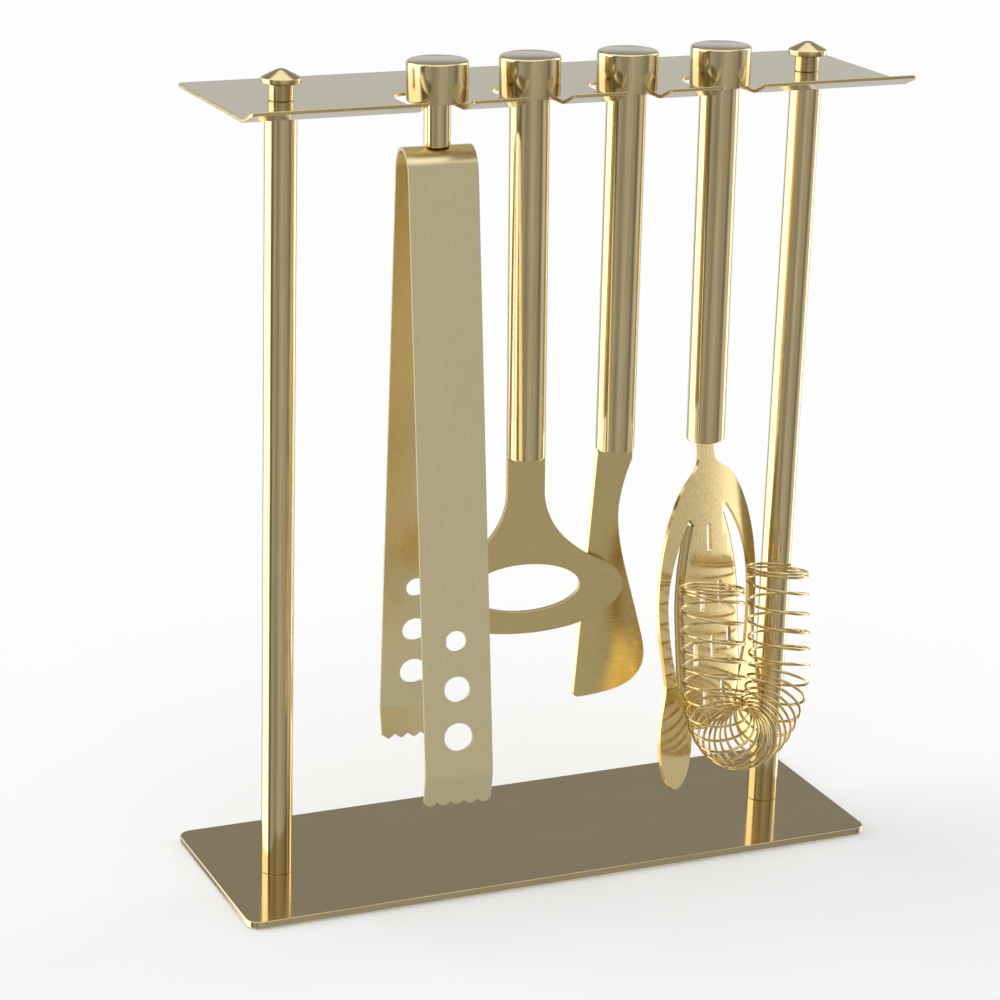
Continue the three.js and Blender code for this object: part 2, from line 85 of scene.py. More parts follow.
BOW_TOP = -15
BOW_RADIUS = 8.6
STRIP_THICKNESS = 1.2
STRIP_WIDTH = 23.5
ARM_SPLAY = math.radians(6.9)
ARM_BEND = -224.5
TIP_DROP = 11.5
TIP_INWARD = 3
TOOTH_COUNT = 5
TOOTH_DEPTH = 1.6
DRAIN_FIRST = -177.9
DRAIN_PITCH = -16.6
DRAIN_RADII = (3.6, 4.5, 4.95)

OPENER_THICKNESS = 2
KNIFE_THICKNESS = 1.6
KNIFE_CURL = 0.55                   # how far the blade's sides curve back
KNIFE_CURL_TOP = -132
KNIFE_CURL_REACH = 40
KNIFE_CURL_MIDDLE = -2
KNIFE_CURL_HALF = 12
STRAINER_THICKNESS = 1.4
STRAINER_OFFSET = 0
STRAINER_TILT = -4.5                # degrees that the plate bends forward below its neck
TILT_HEIGHT = -128
DISH_HALF = 20.5
DISH_ROLL = 2.6                     # radius of the dish's rolled-back edge
DISH_WALL = 1.2
DISH_FREE_TOP = -152.5              # above this the dish and the frame are one sheet
DISH_MIDDLE = Vector((0, -190, 0))
ROLL_STEPS = 7
ON_OUTLINE = 0.05                    # a point this near the outline lies on it
FRAME_HALF = 35.5
STRAINER_HOLLOW = 1.2               # how far the pressing's sides curve back
SPRING_COIL = 10.85
SPRING_WIRE = 0.5
SPRING_LEG = 22.6
SPRING_LEFT_TOP = -170.5
SPRING_RIGHT_TOP = -176.5
SPRING_BEND = -210.5
SPRING_DEPTH = -14.7
SPRING_SLANT = math.radians(11)     # the turns lie lower on their right
CLOSED_TURNS = 2
OPEN_TURNS = 27
CLOSED_PITCH = 1.3
CROWDING = 0.44                     # how much closer the turns lie round the bend than near the ends

# Where each tool hangs: its slot, its sideways play in it, its lean and its turn about itself.
HANG_Y = -19
TOOLS = {
    "tongs": (0, 3, 1.15, -8),
    "opener": (1, 0.7, 1.36, -9),
    "knife": (2, 0.8, 0.6, 0),
    "strainer": (3, 0.35, 0.8, 32),
}


def slot_x(slot):
    return SLOT_SHIFT + (slot - (SLOT_COUNT - 1) / 2) * SLOT_PITCH


def hang_matrix(tool):
    """Places a tool drawn about its own axis, with its knob's foot at the origin."""
    slot, play, lean, turn = TOOLS[tool]
    lift = KNOB_RADIUS * math.sin(math.radians(lean))
    place = Vector((slot_x(slot) + play, HANG_Y, PLATE_TOP + GAP + lift))
    leaning = Matrix.Rotation(math.radians(-lean), 4, "Y")
    turned_by = Matrix.Rotation(math.radians(turn), 4, "Z")
    return Matrix.Translation(place) @ leaning @ turned_by


HANG = {tool: hang_matrix(tool) for tool in TOOLS}
STAND = Matrix.Identity(4)

# ---------------------------------------------------------------- camera, floor, light

# Studio brightness, in degrees round the object from the camera's side (0, to the right positive) and in
# degrees above the floor. Brightness is on a scale where 1 is STUDIO_POWER.
STUDIO_TURN = 22.19
STUDIO_POWER = 2.0
FLOOR_GLOW = 0.12
SIDE_LIGHT = (
    (-180, 0.06), (-140, 0.06), (-130, 1.1), (-70, 1.2), (-62, 0.06), (-50, 0.08), (-42, 0.24), (-12, 0.16),
    (14, 0.26), (52, 0.2), (74, 0.1), (92, 0.36), (112, 0.3),
    (119, 1.2), (134, 1.1), (144, 0.06), (180, 0.06),
)
BACKDROP_SPREAD = ((-180, 1), (-150, 1), (-134, 0), (134, 0), (150, 1), (180, 1))
BACKDROP_LIGHT = ((-180, 0.28), (11, 0.28), (20, 0.1), (180, 0.1))
SIDE_HEIGHT = ((-180, 1), (38, 1), (56, 0.1), (180, 0))
TOP_LIGHT = ((-180, 0), (46, 0), (58, 0.62), (90, 0.62), (180, 0.62))


def make_camera():
    azimuth, elevation, roll = math.radians(-22.19), math.radians(19.02), math.radians(1.08)
    distance = 1053.4
    aim = Vector((-53.0, 0, 116.0))
    back = Vector((
        math.sin(azimuth) * math.cos(elevation),
        -math.cos(azimuth) * math.cos(elevation),
        math.sin(elevation),
    ))
    right = (-back).cross(Vector((0, 0, 1))).normalized()
    up = right.cross(-back)
    level_right = math.cos(roll) * right + math.sin(roll) * up
    level_up = -math.sin(roll) * right + math.cos(roll) * up
    data = bpy.data.cameras.new("camera")
    data.sensor_width = 36
    data.lens = 109.4
    data.shift_x = 0.1048
    data.shift_y = 0.0509
    data.clip_start = 0.05
    data.clip_end = 20
    camera = bpy.data.objects.new("camera", data)
    bpy.context.scene.collection.objects.link(camera)
    axes = Matrix((level_right, level_up, back)).transposed().to_4x4()
    camera.matrix_world = Matrix.Translation((aim + back * distance) * MM) @ axes
    bpy.context.scene.camera = camera


def make_floor():
    bpy.ops.mesh.primitive_plane_add(size=16, location=(0, 0, -0.0002))
    floor = bpy.context.object
    floor.name = "floor"
    material = bpy.data.materials.new("floor")
    material.use_nodes = True
    shader = material.node_tree.nodes["Principled BSDF"]
    shader.inputs["Base Color"].default_value = (0.88, 0.88, 0.88, 1)
    shader.inputs["Roughness"].default_value = 0.9
    shader.inputs["Specular IOR Level"].default_value = 0.0
    shader.inputs["Emission Color"].default_value = (1, 1, 1, 1)
    shader.inputs["Emission Strength"].default_value = FLOOR_GLOW
    floor.data.materials.append(material)
    floor.visible_glossy = False


def ramp(tree, source, stops):
    """A colour ramp over degrees from -180 to 180: stops are (degrees, brightness)."""
    scaled = tree.nodes.new("ShaderNodeMapRange")
    scaled.inputs["From Min"].default_value = -math.pi
    scaled.inputs["From Max"].default_value = math.pi
    tree.links.new(source, scaled.inputs["Value"])
    node = tree.nodes.new("ShaderNodeValToRGB")
    node.color_ramp.interpolation = "EASE"
    marks = node.color_ramp.elements
    while len(marks) < len(stops):
        marks.new(0.5)
    for mark, (degrees, brightness) in zip(marks, stops):
        mark.position = (degrees + 180) / 360
        mark.color = (brightness, brightness, brightness, 1)
    tree.links.new(scaled.outputs["Result"], node.inputs["Fac"])
    return node.outputs["Color"]


def combine(tree, operation, first, second):
    node = tree.nodes.new("ShaderNodeMath")
    node.operation = operation
    for socket, value in zip(node.inputs, (first, second)):
        if isinstance(value, (int, float)):
            socket.default_value = value
        else:
            tree.links.new(value, socket)
    return node.outputs["Value"]


def make_lights():
    """A white studio: soft boxes at both sides and overhead, with darker room between them."""
    world = bpy.data.worlds.new("studio")
    world.use_nodes = True
    tree = world.node_tree
    place = tree.nodes.new("ShaderNodeTexCoord")
    turned = tree.nodes.new("ShaderNodeVectorRotate")
    turned.rotation_type = "Z_AXIS"
    turned.inputs["Angle"].default_value = math.radians(STUDIO_TURN)
    tree.links.new(place.outputs["Generated"], turned.inputs["Vector"])
    parts = tree.nodes.new("ShaderNodeSeparateXYZ")
    tree.links.new(turned.outputs["Vector"], parts.inputs["Vector"])
    around = combine(tree, "ARCTAN2", parts.outputs["X"], combine(tree, "MULTIPLY", parts.outputs["Y"], -1))
    height = combine(tree, "ARCSINE", parts.outputs["Z"], 0)
    sides = ramp(tree, around, SIDE_LIGHT)
    spread = ramp(tree, around, BACKDROP_SPREAD)
    backdrop = combine(tree, "MULTIPLY", spread, ramp(tree, height, BACKDROP_LIGHT))
    low = combine(tree, "MULTIPLY", combine(tree, "ADD", sides, backdrop), ramp(tree, height, SIDE_HEIGHT))
    light = combine(tree, "ADD", low, ramp(tree, height, TOP_LIGHT))
    light = combine(tree, "MULTIPLY", light, STUDIO_POWER)
    path = tree.nodes.new("ShaderNodeLightPath")
    seen = combine(tree, "MAXIMUM", light, path.outputs["Is Camera Ray"])
    background = tree.nodes["Background"]
    background.inputs["Color"].default_value = (1, 1, 1, 1)
    tree.links.new(seen, background.inputs["Strength"])
    bpy.context.scene.world = world
    bpy.context.scene.view_settings.view_transform = "Standard"


# ---------------------------------------------------------------- mesh making


def new_piece(name, body, mesh, place, material, nodes, smooth_angle=30):
    """A finished object made from a bmesh drawn in millimetres, riding on its body for its CAD nodes."""
    mesh.transform(Matrix.Scale(MM, 4) @ place)
    bmesh.ops.recalc_face_normals(mesh, faces=mesh.faces)
    data = bpy.data.meshes.new(name)
    mesh.to_mesh(data)
    mesh.free()
    piece = bpy.data.objects.new(name, data)
    bpy.context.scene.collection.objects.link(piece)
    data.materials.append(material)
    data.shade_smooth()
    data.set_sharp_from_angle(angle=math.radians(smooth_angle))
    if body:
        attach(piece, body)
    if nodes:
        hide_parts(*nodes)
    return piece


def lathe(profile, steps=128):
    """A turned solid about Z. Its (radius, height) profile runs from axis to axis or closes on itself."""
    mesh = bmesh.new()
    rings = []
    for radius, height in profile:
        if radius == 0:
            rings.append([mesh.verts.new((0, 0, height))])
            continue
        ring = []
        for i in range(steps):
            angle = 2 * math.pi * i / steps
            ring.append(mesh.verts.new((radius * math.cos(angle), radius * math.sin(angle), height)))
        rings.append(ring)
    pairs = list(zip(rings, rings[1:]))
    if profile[0][0] > 0:
        pairs.append((rings[-1], rings[0]))
    for low, high in pairs:
        for i in range(steps):
            j = (i + 1) % steps
            corners = [low[i % len(low)], low[j % len(low)], high[j % len(high)], high[i % len(high)]]
            unique = list(dict.fromkeys(corners))
            if len(unique) > 2:
                mesh.faces.new(unique)
    return mesh


def rounded(corners, radius, steps=5):
    """An open line of (a, b) points with rounded inner corners. Radius may be one for each corner."""
    radii = radius if hasattr(radius, "__len__") else [radius] * (len(corners) - 2)
    points = [Vector(corners[0])]
    for before, corner, after, r in zip(corners, corners[1:], corners[2:], radii):
        corner = Vector(corner)
        towards = (Vector(before) - corner).normalized()
        away = (Vector(after) - corner).normalized()
        half = towards.angle(away) / 2
        if r == 0 or half > math.radians(89.5):
            points.append(corner)
            continue
        reach = r / math.tan(half)
        centre = corner + (towards + away).normalized() * (r / math.sin(half))
        start, end = corner + towards * reach - centre, corner + away * reach - centre
        sweep = start.angle_signed(end)
        for i in range(steps + 1):
            turn = Matrix.Rotation(-sweep * i / steps, 2)
            points.append(centre + turn @ start)
    points.append(Vector(corners[-1]))
    return [tuple(p) for p in points]


def bezier(start, first, second, end, steps=14):
    points = []
    for i in range(1, steps + 1):
        t = i / steps
        u = 1 - t
        weights = (u ** 3, 3 * u * u * t, 3 * u * t * t, t ** 3)
        points.append(tuple(
            sum(w * p[k] for w, p in zip(weights, (start, first, second, end))) for k in (0, 1)
        ))
    return points


def outline(start, parts, steps=14):
    """Points along lines, given as (x, z), and curves, given as two control points and an end."""
    points = [start]
    for part in parts:
        if len(part) == 2:
            points.append(part)
        else:
            points += bezier(points[-1], part[0:2], part[2:4], part[4:6], steps)
    return points


def mirrored(points):
    """The same half outline on both sides of x = 0, as one closed ring."""
    other = [(-x, z) for x, z in reversed(points) if abs(x) > 1e-6]
    return list(points) + other


def ellipse(x, z, half_x, half_z, steps=72):
    return [
        (x + half_x * math.cos(2 * math.pi * i / steps), z + half_z * math.sin(2 * math.pi * i / steps))
        for i in range(steps)
    ]


def slot_ring(x, z, length, width, steps=10):
    radius = width / 2
    reach = length / 2 - radius
    ring = []
    for i in range(steps + 1):
        angle = math.pi * i / steps
        ring.append((x + radius * math.cos(angle), z + reach + radius * math.sin(angle)))
    for i in range(steps + 1):
        angle = math.pi * (1 + i / steps)
        ring.append((x + radius * math.cos(angle), z - reach + radius * math.sin(angle)))
    return ring


def sheet_mesh(ring, holes=(), cuts=()):
    """A flat face (a, b, 0) with holes, as triangles, cut along the lines given as (axis, value)."""
    curve = bpy.data.curves.new("outline", "CURVE")
    curve.dimensions = "2D"
    curve.fill_mode = "BOTH"
    for loop in (ring, *holes):
        spline = curve.splines.new("POLY")
        spline.points.add(len(loop) - 1)
        for point, (a, b) in zip(spline.points, loop):
            point.co = (a, b, 0, 1)
        spline.use_cyclic_u = True
    holder = bpy.data.objects.new("outline", curve)
    bpy.context.scene.collection.objects.link(holder)
    bpy.context.view_layer.update()
    flat = holder.evaluated_get(bpy.context.evaluated_depsgraph_get()).to_mesh()
    mesh = bmesh.new()
    mesh.from_mesh(flat)
    bpy.data.objects.remove(holder)
    bmesh.ops.remove_doubles(mesh, verts=mesh.verts, dist=1e-4)
    bmesh.ops.dissolve_limit(mesh, angle_limit=math.radians(1), verts=mesh.verts, edges=[
        e for e in mesh.edges if len(e.link_faces) == 2
    ])
    for axis, value in cuts:
        normal = Vector((1, 0, 0)) if axis == 0 else Vector((0, 1, 0))
        everything = mesh.verts[:] + mesh.edges[:] + mesh.faces[:]
        bmesh.ops.bisect_plane(mesh, geom=everything, plane_co=normal * value, plane_no=normal)
    return mesh


def thicken(mesh, thickness):
    """Turns a flat face at 0 into a slab from 0 to the thickness."""
    made = bmesh.ops.extrude_face_region(mesh, geom=mesh.faces[:], use_keep_orig=True)
    for item in made["geom"]:
        if isinstance(item, bmesh.types.BMVert):
            item.co.z += thickness
    return mesh


def stand_up(mesh, front):
    """Stands up a slab drawn in (x, z) with its thickness along +z, so that it starts at y = front."""
    for vert in mesh.verts:
        x, z, depth = vert.co
        vert.co = (x, front + depth, z)
    return mesh


def soften(piece, width, segments=2, angle=35):
    """Rounds the sharp edges of a finished piece by a small bevel, in millimetres."""
    bevel = piece.modifiers.new("edges", "BEVEL")
    bevel.width = width * MM
    bevel.segments = segments
    bevel.limit_method = "ANGLE"
    bevel.angle_limit = math.radians(angle)
    bevel.use_clamp_overlap = True
    bevel.harden_normals = True
    return piece


# ---------------------------------------------------------------- materials


def link(tree, source, output, target, entry):
    tree.links.new(source.outputs[output], target.inputs[entry])


LINE_DEPTH = 0.00002                 # metres
LINE_SHARE = 2.5                     # how strongly the fine lines tint the colour
CLOUD_SHARE = 0.4                    # and how strongly the soft clouds do
CLOUD_SCALE = 60


def gold(name, color, roughness, spread, stretch, bump, tint=0.06):
    """Gold-tone plating over fine parallel lines. Stretch is the lines' (x, y, z) frequency per metre."""
    material = bpy.data.materials.new(name)
    material.use_nodes = True
    tree = material.node_tree
    shader = tree.nodes["Principled BSDF"]
    shader.inputs["Metallic"].default_value = 1
    place = tree.nodes.new("ShaderNodeTexCoord")
    scale = tree.nodes.new("ShaderNodeMapping")
    scale.inputs["Scale"].default_value = stretch
    link(tree, place, "Object", scale, "Vector")
    lines = tree.nodes.new("ShaderNodeTexNoise")
    lines.inputs["Scale"].default_value = 1
    lines.inputs["Detail"].default_value = 4
    lines.inputs["Roughness"].default_value = 0.7
    link(tree, scale, "Vector", lines, "Vector")
    clouds = tree.nodes.new("ShaderNodeTexNoise")
    clouds.inputs["Scale"].default_value = CLOUD_SCALE
    clouds.inputs["Detail"].default_value = 3
    link(tree, place, "Object", clouds, "Vector")
    rough = tree.nodes.new("ShaderNodeMapRange")
    rough.inputs["From Min"].default_value = 0.3
    rough.inputs["From Max"].default_value = 0.7
    rough.inputs["To Min"].default_value = roughness - spread
    rough.inputs["To Max"].default_value = roughness + spread
    link(tree, lines, "Fac", rough, "Value")
    link(tree, rough, "Result", shader, "Roughness")
    shade = tree.nodes.new("ShaderNodeMix")
    shade.data_type = "RGBA"
    shade.inputs["A"].default_value = (*[c * (1 - tint) for c in color], 1)
    shade.inputs["B"].default_value = (*[min(1, c * (1 + tint)) for c in color], 1)
    cloudy = tree.nodes.new("ShaderNodeMath")
    cloudy.operation = "MULTIPLY_ADD"
    cloudy.inputs[1].default_value = CLOUD_SHARE
    cloudy.inputs[2].default_value = -(CLOUD_SHARE + LINE_SHARE - 1) / 2
    link(tree, clouds, "Fac", cloudy, 0)
    blended = tree.nodes.new("ShaderNodeMath")
    blended.operation = "MULTIPLY_ADD"
    blended.inputs[1].default_value = LINE_SHARE
    link(tree, lines, "Fac", blended, 0)
    link(tree, cloudy, "Value", blended, 2)
    link(tree, blended, "Value", shade, "Factor")
    link(tree, shade, "Result", shader, "Base Color")
    relief = tree.nodes.new("ShaderNodeBump")
    relief.inputs["Strength"].default_value = bump
    relief.inputs["Distance"].default_value = LINE_DEPTH
    link(tree, lines, "Fac", relief, "Height")
    link(tree, relief, "Normal", shader, "Normal")
    return material


OLIVE = (0.66, 0.53, 0.31)
WARM = (0.74, 0.60, 0.33)
YELLOW = (0.82, 0.66, 0.30)
PALE = (0.66, 0.58, 0.42)
STRIP = (0.93, 0.80, 0.48)
BLADE = (0.74, 0.58, 0.27)
FINE, LONG = 1800, 14
TURNED = gold("turned_gold", WARM, 0.16, 0.05, (FINE, FINE, LONG), 0.12, 0.14)
CUT_EDGE = gold("cut_edge", BLADE, 0.3, 0.08, (300, 300, FINE), 0.3)
END_FACE = gold("end_face", PALE, 0.16, 0.05, (FINE, FINE, FINE), 0.1)
BASE_SATIN = gold("base_satin", OLIVE, 0.1, 0.05, (LONG, FINE, FINE), 0.15)
PLATE_SATIN = gold("plate_satin", PALE, 0.17, 0.05, (LONG, FINE, FINE), 0.12)
STRIP_SATIN = gold("strip_satin", STRIP, 0.3, 0.03, (FINE, FINE, LONG), 0.05, 0.05)
BLADE_SATIN = gold("blade_satin", BLADE, 0.32, 0.07, (LONG, FINE, FINE), 0.25, 0.1)
KNIFE_SATIN = gold("knife_satin", YELLOW, 0.28, 0.05, (LONG, FINE, FINE), 0.12)
PRESSED = gold("pressed_gold", BLADE, 0.17, 0.05, (900, 900, 900), 0.12)
WIRE = gold("wire_gold", BLADE, 0.12, 0.04, (1500, 1500, 1500), 0.05)
STEEL = gold("plain_steel", (0.55, 0.55, 0.54), 0.35, 0.05, (FINE, FINE, LONG), 0.2)

# ---------------------------------------------------------------- stand


def rectangle_ring(left, right, low, high, radius, steps=10):
    ring = []
    centres = ((right - radius, low + radius), (right - radius, high - radius),
               (left + radius, high - radius), (left + radius, low + radius))
    for quarter, (x, y) in enumerate(centres):
        for i in range(steps + 1):
            angle = math.pi / 2 * (quarter - 1 + i / steps)
            ring.append((x + radius * math.cos(angle), y + radius * math.sin(angle)))
    return ring


def circle_ring(x, y, radius, steps=48):
    return ellipse(x, y, radius, radius, steps)


def base_plate():
    half_length, half_depth = BASE_LENGTH / 2, BASE_DEPTH / 2
    ring = rectangle_ring(-half_length, half_length, -half_depth, half_depth, BASE_CORNER)
    holes = [circle_ring(side * POST_X, POST_Y, 2.8) for side in (-1, 1)]
    mesh = thicken(sheet_mesh(ring, holes), BASE_THICKNESS)
    for vert in mesh.verts:
        for side in (-1, 1):
            offset = Vector((vert.co.x - side * POST_X, vert.co.y - POST_Y))
            if vert.co.z < 0.1 and offset.length < 3.5:
                offset *= BASE_BORE / offset.length
                vert.co.x, vert.co.y = side * POST_X + offset.x, POST_Y + offset.y
    piece = new_piece("base_plate_finished", "stand", mesh, STAND, BASE_SATIN, ["base_plate"])
    soften(piece, 0.45)


def post(side, name):
    foot = BASE_THICKNESS + 0.02
    head = PLATE_TOP - PLATE_THICKNESS - 0.02
    profile = [(0, foot), (POST_RADIUS - 0.25, foot), (POST_RADIUS, foot + 0.25),
               (POST_RADIUS, head - 0.25), (POST_RADIUS - 0.25, head), (0, head)]
    place = Matrix.Translation((side * POST_X, POST_Y, 0))
    new_piece(f"post_{name}", "stand", lathe(profile), place, TURNED, [f"upright_{name}"])


def finial(side, name):
    neck, cap = 4.2, 6.65
    foot = PLATE_TOP + 0.02
    profile = [
        (0, foot), (neck - 0.3, foot), (neck, foot + 0.3), (neck, foot + 5.1), (neck - 0.35, foot + 5.3),
        (neck - 0.35, foot + 5.6), (cap - 0.35, foot + 5.65), (cap - 0.1, foot + 5.8), (cap, foot + 6.1),
        (cap, foot + 7.2), (cap - 0.08, foot + 7.42), (cap - 0.35, foot + 7.62),
        (1.9, foot + 9.8), (1.2, foot + 10.08), (0.6, foot + 10.22), (0, foot + 10.27),
    ]
    place = Matrix.Translation((side * POST_X, POST_Y, 0))
    new_piece(f"cap_nut_{name}", "stand", lathe(profile), place, TURNED,
              [f"finial_{name}"])


def bend_plate(distance, height):
    """(y, z) of a point on the top plate, by distance forward of the bend and height in the sheet."""
    flat_reach = -LIP_CURVE / 2
    if distance <= flat_reach:
        return PLATE_BEND - distance, PLATE_TOP - PLATE_THICKNESS + height
    radius = LIP_CURVE / LIP_ANGLE
    turn = min((distance - flat_reach) / radius, LIP_ANGLE)
    beyond = max(0, distance - flat_reach - LIP_CURVE)
    centre_y, centre_z = PLATE_BEND - flat_reach, PLATE_TOP + radius
    arm = radius + PLATE_THICKNESS - height
    y = centre_y - arm * math.sin(turn) - beyond * math.cos(turn)
    z = centre_z - arm * math.cos(turn) + beyond * math.sin(turn)
    return y, z


def top_plate():
    """Drawn flat, with its distance forward of the bend as the second coordinate, then bent."""
    half = PLATE_LENGTH / 2
    back = PLATE_BEND - PLATE_BACK
    tip = LIP_LENGTH
    ring = []
    for i in range(11):
        angle = math.pi / 2 * i / 10
        ring.append((half - PLATE_CORNER + PLATE_CORNER * math.sin(angle),
                     back + PLATE_CORNER - PLATE_CORNER * math.cos(angle)))
    for i in range(11):
        angle = math.pi / 2 * i / 10
        ring.append((half - PLATE_CORNER + PLATE_CORNER * math.cos(angle),
                     tip - PLATE_CORNER + PLATE_CORNER * math.sin(angle)))
    for slot in reversed(range(SLOT_COUNT)):
        radius = SLOT_WIDTH / 2
        centre = slot_x(slot)
        deepest = PLATE_BEND - SLOT_BACK
        corner = 0.8
        ring += rounded([(centre + radius + corner * 2, tip), (centre + radius, tip),
                         (centre + radius, tip - corner * 2)], corner)
        for i in range(33):
            angle = math.pi * i / 32
            ring.append((centre + radius * math.cos(angle), deepest + radius - radius * math.sin(angle)))
        ring += rounded([(centre - radius, tip - corner * 2), (centre - radius, tip),
                         (centre - radius - corner * 2, tip)], corner)
    for i in range(11):
        angle = math.pi / 2 * i / 10
        ring.append((-half + PLATE_CORNER - PLATE_CORNER * math.sin(angle),
                     tip - PLATE_CORNER + PLATE_CORNER * math.cos(angle)))
    for i in range(11):
        angle = math.pi / 2 * i / 10
        ring.append((-half + PLATE_CORNER - PLATE_CORNER * math.cos(angle),
                     back + PLATE_CORNER - PLATE_CORNER * math.sin(angle)))
    holes = [circle_ring(side * POST_X, PLATE_BEND - POST_Y, 2.8) for side in (-1, 1)]
    cuts = [(1, -LIP_CURVE / 2 + LIP_CURVE * i / 8) for i in range(9)]
    mesh = thicken(sheet_mesh(ring, holes, cuts), PLATE_THICKNESS)
    mesh.normal_update()
    for face in mesh.faces:
        face.material_index = 1 if abs(face.normal.z) < 0.5 else 0
    for vert in mesh.verts:
        vert.co.y, vert.co.z = bend_plate(vert.co.y, vert.co.z)
    piece = new_piece("shelf", "stand", mesh, STAND, PLATE_SATIN, ["top_plate"])
    piece.data.materials.append(CUT_EDGE)
    soften(piece, 0.3)


# ---------------------------------------------------------------- handles


def knob(tool):
    r, h = KNOB_RADIUS, KNOB_HEIGHT
    profile = [
        (0, 0), (r - 0.5, 0), (r - 0.15, 0.12), (r, 0.45), (r, h - 0.95), (r - 0.07, h - 0.6),
        (r - 0.28, h - 0.28), (r - 0.6, h - 0.08), (r - 0.95, h), (0, h),
    ]
    spigot = [(0, -9.5), (SHAFT_BORE - 0.35, -9.5), (SHAFT_BORE - 0.35, 0.1), (0, 0.1)]
    piece = new_piece(
        f"{tool}_head", f"{tool}_knob", lathe(profile), HANG[tool], TURNED,
        [f"{tool}_knob"])
    piece.data.materials.append(END_FACE)
    for face in piece.data.polygons:
        if face.normal.z > 0.98:
            face.material_index = 1
    if tool != "tongs":
        turned = lathe(spigot, 48)
        new_piece(f"{tool}_spigot", f"{tool}_knob", turned, HANG[tool], TURNED, [])
    return piece


def handle(tool):
    r, low = SHAFT_RADIUS, SHAFT_END
    profile = [
        (SHAFT_BORE, -0.04), (r, -0.04), (r, low + 0.9), (r - 0.12, low + 0.45), (r - 0.4, low + 0.12),
        (r - 0.8, low), (SHAFT_BORE, low),
    ]
    new_piece(f"{tool}_handle_tube", f"{tool}_handle", lathe(profile), HANG[tool], TURNED,
              [f"{tool}_shaft"])


# ---------------------------------------------------------------- tongs

BOW_CENTRE = BOW_TOP - STRIP_THICKNESS / 2 - BOW_RADIUS
ARM_TOP_Y = BOW_RADIUS * math.cos(ARM_SPLAY)
ARM_TOP_Z = BOW_CENTRE + BOW_RADIUS * math.sin(ARM_SPLAY)
BOW_SWEEP = math.pi / 2 - ARM_SPLAY
BOW_LENGTH = BOW_RADIUS * BOW_SWEEP
LEG_LENGTH = (ARM_TOP_Z - ARM_BEND) / math.cos(ARM_SPLAY)
TIP_ANGLE = math.atan2(TIP_INWARD, TIP_DROP) + ARM_SPLAY
TIP_LENGTH = math.hypot(TIP_INWARD, TIP_DROP)
TIP_CURVE = 3.0


def strip_point(distance):
    """Middle line of half the tongs' strip from the top of the bow: outward, height and heading."""
    if distance <= BOW_LENGTH:
        angle = distance / BOW_RADIUS
        return BOW_RADIUS * math.sin(angle), BOW_CENTRE + BOW_RADIUS * math.cos(angle), angle
    heading = BOW_SWEEP
    run = distance - BOW_LENGTH
    bend_start = LEG_LENGTH - TIP_CURVE / 2
    straight = min(run, bend_start)
    out = ARM_TOP_Y + straight * math.sin(ARM_SPLAY)
    height = ARM_TOP_Z - straight * math.cos(ARM_SPLAY)
    left = run - straight
    steps = 12
    for i in range(steps):
        piece_length = min(left, TIP_CURVE) / steps
        turned_by = TIP_ANGLE * (i + 0.5) / steps * min(left, TIP_CURVE) / TIP_CURVE
        heading = BOW_SWEEP + turned_by
        out += piece_length * math.cos(heading)
        height -= piece_length * math.sin(heading)
    if left > 0:
        heading = BOW_SWEEP + TIP_ANGLE * min(left, TIP_CURVE) / TIP_CURVE
    beyond = max(0, left - TIP_CURVE)
    return out + beyond * math.cos(heading), height - beyond * math.sin(heading), heading


def strip_half(side, name):
    half = STRIP_WIDTH / 2
    total = BOW_LENGTH + LEG_LENGTH + TIP_LENGTH
    pitch = STRIP_WIDTH / TOOTH_COUNT
    tip = []
    samples = TOOTH_COUNT * 16
    for i in range(samples + 1):
        x = -half + STRIP_WIDTH * i / samples
        if side < 0:
            depth = TOOTH_DEPTH * (1 - abs(math.sin(math.pi * (x + half) / pitch)) ** 0.8)
        else:
            share = ((x + half) / pitch) % 1
            depth = TOOTH_DEPTH * abs(1 - 2 * share)
        tip.append((x, total - depth))
    ring = [(-half, 0)] + tip + [(half, 0)]
    holes = []
    for i, radius in enumerate(DRAIN_RADII):
        z = DRAIN_FIRST + i * DRAIN_PITCH
        along = BOW_LENGTH + (ARM_TOP_Z - z) / math.cos(ARM_SPLAY)
        holes.append(circle_ring(0, along, radius, 56))
    cuts = [(1, BOW_LENGTH * i / 18) for i in range(1, 19)]
    cuts += [(1, BOW_LENGTH + LEG_LENGTH * i / 12) for i in range(1, 10)]
    bend = BOW_LENGTH + LEG_LENGTH - TIP_CURVE / 2
    cuts += [(1, bend + TIP_CURVE * i / 8) for i in range(9)]
    mesh = thicken(sheet_mesh(ring, holes, cuts), STRIP_THICKNESS)
    for vert in mesh.verts:
        x, distance, height = vert.co
        out, z, heading = strip_point(distance)
        offset = height - STRIP_THICKNESS / 2
        out += offset * math.sin(heading)
        z += offset * math.cos(heading)
        vert.co = (x, side * out, z)
    piece = new_piece(f"tongs_strip_{name}", None, mesh, HANG["tongs"], STRIP_SATIN,
                      [f"tongs_arm_{name}", "tongs_bow"])
    soften(piece, 0.22)
    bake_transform(piece)


def tongs():
    knob("tongs")
    r = STEM_RADIUS
    profile = [(0, BOW_TOP + 0.02), (r - 0.35, BOW_TOP + 0.02), (r, BOW_TOP + 0.4), (r, -0.04), (0, -0.04)]
    new_piece("tongs_neck", "tongs_handle", lathe(profile), HANG["tongs"], TURNED,
              ["tongs_stem"])
    seat = BOW_TOP - STRIP_THICKNESS
    rivet = [(0, seat - 1.9), (1.0, seat - 1.8), (2.0, seat - 1.3), (2.6, seat - 0.5), (2.7, seat - 0.02),
             (0, seat - 0.02)]
    new_piece("tongs_rivet_head", "tongs_handle", lathe(rivet, 48), HANG["tongs"], STEEL,
              ["tongs_rivet"])
    strip_half(-1, "front")
    strip_half(1, "back")


# ---------------------------------------------------------------- opener, knife


